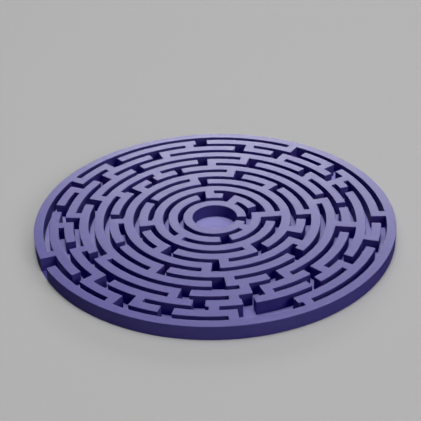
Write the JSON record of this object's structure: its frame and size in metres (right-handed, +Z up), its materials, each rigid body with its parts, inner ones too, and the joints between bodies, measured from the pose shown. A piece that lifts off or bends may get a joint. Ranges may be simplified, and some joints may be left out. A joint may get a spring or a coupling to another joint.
{
  "type": "maze ball puzzle",
  "caption": "Low round hand-held tilt maze: concentric channels with gates and dividers over a thin floor, and a small ball rolled from the rim gate to the central goal.",
  "frame": {"origin": "centre of the tray's underside", "axes": "+Z up out of the channels, -Y towards the player, +X to the player's right"},
  "size_m": [0.2, 0.2, 0.0081],
  "materials": {
    "wall_plastic": "satin violet-blue",
    "floor_plastic": "satin violet-blue",
    "ball_steel": "polished bearing steel"
  },
  "bodies": {
    "tray": {"floor_disc": "floor_plastic", "maze_walls": "wall_plastic"},
    "ball": {"steel_ball": "ball_steel"}
  },
  "joints": [
    {"name": "ball_roll", "type": "hinge", "parent": "tray", "child": "ball", "pos_m": [0, 0, 0.00177], "axis": [0, 0, 1], "range_deg": [-21.5, 8]}
  ]
}
